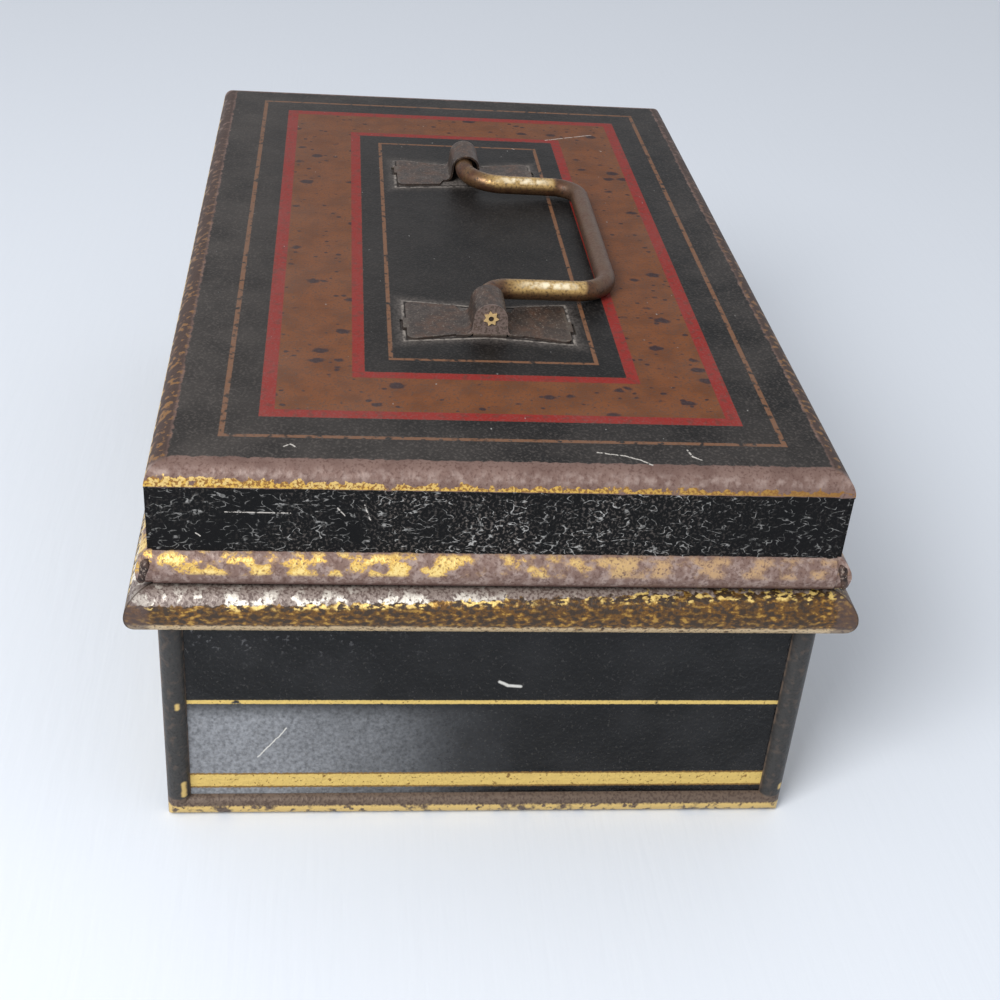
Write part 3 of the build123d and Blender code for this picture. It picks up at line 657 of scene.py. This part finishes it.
# Seen on the near panel alone: a grey painted reflection low down towards the lock side, and above it a
# painted highlight on the japan's pimpled grain, where it catches the light under the moulding.
def paintPanelReflection(coat, look):
    # painted reflection: grey over the panel's lower part, towards the lock side
    reflectionSpread = coat.ramp(coat.ragged(coat.y, 9.0, coat.drift), *look["reflectionAcross"])
    uneven = coat.ramp(coat.noise(1.0, 4.0), -0.2, 0.9)
    coat.cover(coat.both(reflectionSpread, coat.ramp(coat.z, *look["reflectionHeight"]), uneven, 0.95), look["reflectionGrey"])
    # painted highlight: specks on the grain, high up towards the lock side
    across = coat.ramp(coat.ragged(coat.y, 9.0, coat.noise(18.0)), *look["glintAcross"])
    high = coat.both(coat.ramp(coat.z, *look["glintHeight"]), across)
    glintPimples = coat.both(coat.ramp(coat.noise(1.3), 0.58, 0.68), coat.ramp(coat.mottle, 0.42, 0.6))
    coat.cover(coat.both(high, glintPimples, 0.7), look["glint"])


def panelMaterial(name, near):
    look = bodyLooks
    coat = Coat(name, look["panelBlack"], look["panelGloss"])
    coverBlack(coat, look)
    # on the near panel: a painted reflection and a painted highlight
    if near:
        paintPanelReflection(coat, look)
    coverStripes(coat, look)
    if near:
        upright = (coat.y, coat.z)
        coat.cover(coat.marks(upright, look["panelScratches"], look["scratchWidth"]), look["scratch"])
        coat.cover(coat.marks(upright, look["panelBlots"], look["blotWidth"]), look["scratch"])
    coverTin(coat, coat.inward(look["hollow"]))
    return coat.relief(coat.plus(coat.noise(1.3), coat.both(coat.mottle, 1.2)), look["panelRelief"])


# Rolled frames at the ends: rubbed black with brown edges, the bottom one gilt.
def paintRims(coat, look):
    start = look["frameStart"]
    side = look["frameSide"]
    bottomTop = look["frameBottom"]
    rim = coat.ramp(coat.wideX, start, start + 0.4)
    coat.cover(rim, look["rim"])
    coat.cover(coat.both(rim, coat.ramp(coat.wear, 0.5, 0.7), 0.35), look["rimBrown"])
    coat.cover(coat.both(rim, coat.ramp(coat.grain, 0.5, 0.66), 0.4), look["rimDark"])
    edges = coat.both(rim, coat.either(coat.ramp(coat.wideY, side, side + 0.6),
                                       coat.ramp(coat.wideX, start + 1.2, start + 0.6)))
    coat.cover(coat.both(edges, coat.ramp(coat.wear, 0.34, 0.54), 0.85), look["rimEdge"])
    bottom = coat.both(rim, coat.ramp(coat.ragged(coat.z, 0.3), bottomTop, bottomTop - 0.6))
    coat.cover(coat.both(bottom, 0.85), look["rimBottom"])
    coat.cover(coat.both(bottom, coat.ramp(coat.grain, 0.46, 0.62), 0.6), look["rimRust"])
    worn = coat.both(bottom, coat.ramp(coat.mottle, 0.34, 0.46), coat.ramp(coat.wear, 0.66, 0.54))
    gilt = coat.both(worn, coat.band(coat.ragged(coat.z, 0.3, coat.grain), *look["frameGilt"], 0.4))
    coat.cover(gilt, look["rimGold"])
    onNearRim = coat.ramp(coat.x, start, start + 0.4)
    dots = coat.marks((coat.y, coat.z), look["rimDots"], look["dotWidth"])
    coat.cover(coat.both(onNearRim, dots), look["rimGold"])


def wrapMaterial():
    look = bodyLooks
    start = look["frameStart"]
    coat = Coat("wrap_japan", look["wrapBlack"], look["wrapGloss"])
    coverBlack(coat, look)
    coverStripes(coat, look)
    betweenFrames = coat.ramp(coat.wideX, start - 0.1, start - 0.4)
    coverTin(coat, coat.both(coat.inward(look["hollow"]), betweenFrames))
    paintRims(coat, look)
    return coat.relief(coat.plus(coat.grain, coat.both(coat.mottle, 1.2)), look["wrapRelief"])


dress(panelMaterial("near_panel_japan", True), "end_panel_near")
dress(panelMaterial("far_panel_japan", False), "end_panel_far")
dress(wrapMaterial(), "body_wrap")
print("body painted")


# Moulding round the mouth: bronze powder over a mauve base coat, bare along the top.
mouldingLooks = {
    "foot": (73.8, 72.8),           # heights between which the foot's painted reflection begins
    "bareFoot": (79.0, 82.0),       # foot of the bare strip, at the lock side and at the hinge side
    "shineHeight": (82.2, 80.4),
    "corner": (147.0, 89.5),
    "mitre": 58.0,                  # X less Y along the mitred corners
    "relief": 0.16,
    "amber": finish(104, 72, 34, 0.36, 0.45),
    "gold": finish(186, 144, 68, 0.34, 0.5),
    "speckle": finish(50, 35, 20, 0.55, 0.1),
    "shade": finish(50, 35, 20, 0.5, 0.2),
    "crease": finish(50, 35, 20, 0.7, 0.0),
    "pale": finish(200, 174, 134, 0.42, 0.25),
    "brown": finish(80, 62, 56, 0.5, 0.15),
    "brownGrain": finish(80, 62, 56, 0.5),
    "fringe": finish(232, 200, 120, 0.34, 0.35),
    "mauve": finish(138, 124, 116, 0.38, 0.15),
    "highlightWhite": finish(226, 219, 206, 0.34),
}


def mouldingMaterial():
    look = mouldingLooks
    coat = Coat("moulding_bronze", look["amber"])
    streaks = coat.noise(1.1, 4.0, 3.0, (1, 0.55, 1))
    coat.cover(coat.both(coat.ramp(streaks, 0.46, 0.34), 0.8), look["gold"])
    coat.cover(coat.ramp(streaks, 0.48, 0.58), look["speckle"])
    coat.cover(coat.both(coat.patches(coat.blotches, 0.4, 0.12), 0.5), look["shade"])
    height = coat.ragged(coat.z, 0.7)
    # painted reflection of the pale floor: the foot paler, broken up by wear clouds
    foot = coat.ramp(height, *look["foot"])
    coat.cover(coat.both(foot, coat.ramp(coat.wear, 0.3, 0.46)), look["pale"])
    coat.cover(coat.both(foot, coat.ramp(coat.grain, 0.54, 0.66), 0.8), look["brown"])
    # upward face: bare base coat with a fringe of gold, wide at the lock side and narrowing to the hinges
    lockFoot, hingeFoot = look["bareFoot"]
    bareFoot = coat.plus(lockFoot, coat.both(coat.ramp(coat.y, -90, 90), hingeFoot - lockFoot))
    fringe = coat.both(coat.ramp(height, coat.plus(bareFoot, -1.3), coat.plus(bareFoot, -0.6)),
                       coat.ramp(streaks, 0.54, 0.44), coat.ramp(coat.mottle, 0.44, 0.54))
    coat.cover(fringe, look["fringe"])
    bare = coat.ramp(height, bareFoot, coat.plus(bareFoot, 0.3))
    coat.cover(bare, look["mauve"])
    coat.cover(coat.both(bare, coat.ramp(coat.grain, 0.46, 0.6), 0.8), look["brownGrain"])
    # painted highlight: white patches low on the bare strip, towards the lock side
    shine = coat.both(coat.ramp(coat.mottle, 0.49, 0.56), coat.ramp(height, *look["shineHeight"]),
                      coat.ramp(coat.y, 50, -30), coat.ramp(coat.grain, 0.68, 0.5))
    coat.cover(coat.both(bare, shine), look["highlightWhite"])
    # corners darker, with a crease along the mitre
    cornerX, cornerY = look["corner"]
    corner = coat.calc("MINIMUM", coat.plus(coat.wideX, -cornerX), coat.plus(coat.wideY, -cornerY))
    coat.cover(coat.both(coat.ramp(coat.ragged(corner, 1.6), -0.8, 1.2), 0.65), look["brown"])
    offMitre = coat.plus(coat.calc("SUBTRACT", coat.wideX, coat.wideY), -look["mitre"])
    crease = coat.ramp(coat.calc("ABSOLUTE", offMitre), 0.5, 0.15)
    coat.cover(coat.both(crease, 0.8), look["crease"])
    return coat.relief(coat.plus(coat.grain, coat.both(coat.wear, 1.5)), look["relief"])


dress(mouldingMaterial(), "mouth_moulding")
print("moulding bronzed")


# Handle: browned wire, with brass rubbed bright on the legs and a painted highlight laid on them.
bailLooks = {
    "legs": (8.0, 31.5),            # stretch of each leg, in Y, where the brass shows
    "highlightFrom": (0.6, 0.8),       # shares of X and Z in the direction the painted highlight faces
    "grip": (33.0, 37.0),           # the grip's colour comes in between these, in Y
    "pivot": (0.8, 123.2),
    "ends": (72.92, -64.52),        # faces of the staked ends, in X
    "relief": 0.08,
    "wire": finish(112, 84, 58, 0.36, 0.6),
    "gripBrown": finish(86, 64, 50, 0.44, 0.4),
    "gripHighlight": finish(126, 98, 76, 0.36, 0.6),
    "red": finish(84, 54, 40, 0.48),
    "dark": finish(50, 38, 30, 0.5, 0.4),
    "gold": finish(206, 170, 106, 0.3, 0.6),
    "bright": finish(255, 240, 206, 0.28, 0.3),
    "star": finish(222, 190, 134, 0.4, 0.3),
    "punch": finish(50, 38, 30, 0.7, 0.2),
}


def bailMaterial():
    look = bailLooks
    coat = Coat("handle_brass", look["wire"])
    grip = coat.ramp(coat.y, *look["grip"])
    coat.cover(grip, look["gripBrown"])
    coat.cover(coat.both(coat.patches(coat.mottle, 0.4, 0.12), 0.8), look["red"])
    coat.cover(coat.both(coat.ramp(coat.grain, 0.5, 0.68), 0.8), look["dark"])
    # legs: brass shows where rubbed, laid brightest as a painted highlight on the side towards the near end
    # and up
    facing = coat.split(coat.facing)
    shareX, shareZ = look["highlightFrom"]
    rubbedAndLit = coat.plus(coat.both(facing["X"], shareX), coat.both(facing["Z"], shareZ))
    first, last = look["legs"]
    legs = coat.both(coat.ramp(coat.ragged(coat.y, 0.8), first - 4, first + 5),
                     coat.ramp(coat.y, last + 1.2, last - 0.6), coat.ramp(rubbedAndLit, 0.4, 0.98))
    coat.cover(coat.both(legs, coat.ramp(coat.grain, 0.85, 0.36)), look["gold"])
    # painted highlight: a bright streak along the legs' crown
    crown = coat.both(coat.ramp(rubbedAndLit, 0.86, 1.0), coat.band(coat.y, first + 5, last - 3, 5.0))
    coat.cover(coat.both(crown, coat.ramp(coat.wear, 0.7, 0.4)), look["bright"])
    # painted highlight: the grip paler on its upper face
    gripTopLit = coat.both(grip, coat.ramp(facing["Z"], 0.3, 0.9))
    coat.cover(coat.both(gripTopLit, coat.ramp(coat.grain, 0.36, 0.66), 0.45), look["gripHighlight"])
    # staked ends, cut bright by the star punch round a dark centre
    pivotY, pivotZ = look["pivot"]
    nearEnd, farEnd = look["ends"]
    offY = coat.calc("POWER", coat.plus(coat.y, -pivotY), 2.0)
    offZ = coat.calc("POWER", coat.plus(coat.z, -pivotZ), 2.0)
    fromAxis = coat.calc("SQRT", coat.plus(offY, offZ))
    star = coat.either(coat.ramp(coat.x, nearEnd, nearEnd + 0.06), coat.ramp(coat.x, farEnd, farEnd - 0.06))
    coat.cover(star, look["star"])
    coat.cover(coat.both(star, coat.ramp(fromAxis, 0.85, 0.7)), look["punch"])
    return coat.relief(coat.plus(coat.grain, coat.wear), look["relief"])


dress(bailMaterial(), "handle_bail")
print("handle coloured")


# Hinges, catch and lock: plain metals with streaks and stains.
worksRelief = 0.06
worksLooks = {
    "aged_steel": {
        "base": paint(92, 85, 78),
        "stain": paint(74, 54, 42),
        "bright": paint(140, 132, 122),
        "rough": 0.42,
        "metal": 0.75,
    },
    "worn_brass": {
        "base": paint(164, 128, 70),
        "stain": paint(106, 78, 42),
        "bright": paint(208, 176, 108),
        "rough": 0.34,
        "metal": 0.8,
    },
    "spring_steel": {
        "base": paint(96, 98, 106),
        "stain": paint(70, 62, 70),
        "bright": paint(140, 142, 150),
        "rough": 0.3,
        "metal": 0.8,
    },
}


def worksMaterial(name):
    look = worksLooks[name]
    rough, metal = look["rough"], look["metal"]
    coat = Coat(name, (look["base"], rough, metal))
    stained = coat.patches(coat.noise(6.0, 4.0), 0.4, 0.1)
    coat.cover(stained, (look["stain"], rough + 0.15, 0.6 * metal))
    coat.cover(coat.both(coat.ramp(coat.grain, 0.52, 0.68), 0.7), (look["bright"], rough, metal))
    streaks = coat.noise(1.0, 3.0, 7.0, (0.12, 1, 1))
    coat.cover(coat.both(coat.ramp(streaks, 0.56, 0.7), 0.5), (look["bright"], None, None))
    coat.cover(coat.blots(5, 0.22, 9), (look["stain"], rough + 0.25, 0.2))
    return coat.relief(coat.plus(coat.grain, streaks), worksRelief)


dress(worksMaterial("aged_steel"), "hinge_body_leaf_near", "hinge_body_leaf_far", "hinge_strap_near",
      "hinge_strap_far", "hinge_pin_near", "hinge_pin_far", "hinge_rivets", "catch_rivets", "lid_catch",
      "lock_case", "lock_rivets")
dress(worksMaterial("worn_brass"), "keyhole_plate", "keyhole_plate_pins", "lock_bolt", "lock_guide_posts",
      "lock_key_post")
dress(worksMaterial("spring_steel"), "lock_bolt_spring")
print("works coloured")


# Camera, floor and light, in metres.
camera = {
    "place": (0.46934, -0.04374, 0.31438),
    "right": (0.08368, 0.99394, 0.07129),
    "up": (-0.53964, -0.01494, 0.84176),
    "lens": 54.88,                  # in millimetres
}
light = {
    "sky": (0.90, 0.92, 0.96, 1.0),
    "skyStrength": 0.72,
    "key": (0.8, -0.6, 0.9),
    "keyWatts": 15.0,
    "keySize": 0.6,
    "target": (0.05, 0.0, 0.07),
    "floorSize": 40,
    "floorPaint": finish(219, 224, 231, 0.6, 0.0),
    "floorRelief": 0.1,             # in millimetres
}


def placeCamera():
    data = bpy.data.cameras.new("camera")
    data.lens = camera["lens"]
    data.clip_start = 0.01
    eye = bpy.data.objects.new("camera", data)
    bpy.context.collection.objects.link(eye)
    right = Vector(camera["right"]).normalized()
    up = Vector(camera["up"])
    up = (up - up.dot(right) * right).normalized()
    back = right.cross(up)
    turn = Matrix((right, up, back)).transposed().to_4x4()
    eye.matrix_world = Matrix.Translation(camera["place"]) @ turn
    bpy.context.scene.camera = eye


def placeFloor():
    bpy.ops.mesh.primitive_plane_add(size=light["floorSize"])
    floor = bpy.context.object
    floor.name = "floor"
    coat = Coat("floor_paint", light["floorPaint"])
    brushed = coat.noise(3.0, 2.0, 1.0, (0.1, 1, 1))
    floor.data.materials.append(coat.relief(brushed, light["floorRelief"]))


def placeLight():
    world = bpy.data.worlds.new("world")
    world.use_nodes = True
    background = world.node_tree.nodes["Background"]
    background.inputs["Color"].default_value = light["sky"]
    background.inputs["Strength"].default_value = light["skyStrength"]
    bpy.context.scene.world = world
    bpy.ops.object.light_add(type="AREA", location=light["key"])
    lamp = bpy.context.object
    lamp.data.energy = light["keyWatts"]
    lamp.data.size = light["keySize"]
    aim = Vector(light["target"]) - lamp.location
    lamp.rotation_euler = aim.to_track_quat("-Z", "Y").to_euler()


placeCamera()
placeFloor()
placeLight()
bpy.context.scene.view_settings.view_transform = "Standard"
print("camera, floor and light placed")
